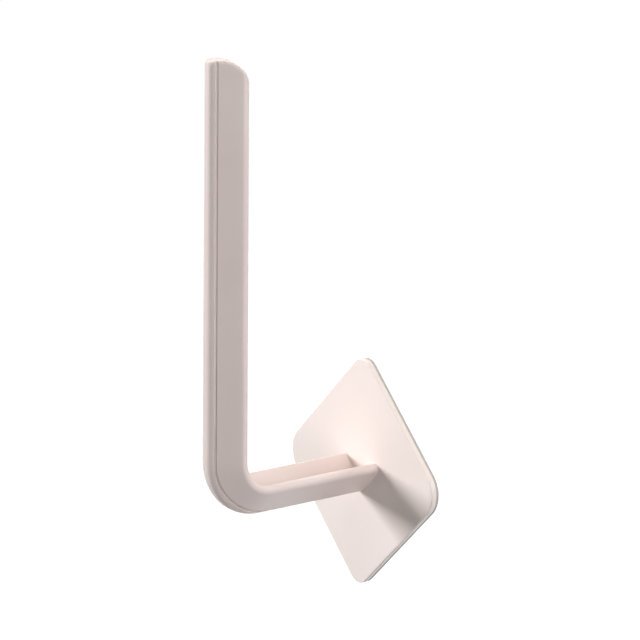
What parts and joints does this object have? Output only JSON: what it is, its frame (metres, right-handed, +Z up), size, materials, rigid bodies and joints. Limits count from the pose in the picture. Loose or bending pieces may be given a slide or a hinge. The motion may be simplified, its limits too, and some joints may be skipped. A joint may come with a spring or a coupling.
{
  "type": "adhesive wall hook",
  "caption": "Stick-on wall hook: a square plate on its corner carries an L-shaped channel arm with a rounded bend and a long upright leg that holds rolls, cups or cloths clear of the wall.",
  "frame": {"origin": "centre of the adhesive face that meets the wall", "axes": "+Y into the wall, +Z up along the upright leg, +X to the right seen from the room"},
  "size_m": [0.0832, 0.0749, 0.2042],
  "materials": {
    "plate_plastic": "satin warm white",
    "arm_plastic": "satin warm white",
    "strip_plastic": "satin warm white",
    "foam": "matt closed-cell foam",
    "adhesive": "tacky clear film"
  },
  "bodies": {
    "root": {"base_plate": "plate_plastic", "hook_arm": "arm_plastic", "arm_face_strip": "strip_plastic", "plate_side_adhesive": "adhesive", "foam_pad": "foam", "wall_side_adhesive": "adhesive"}
  },
  "joints": []
}
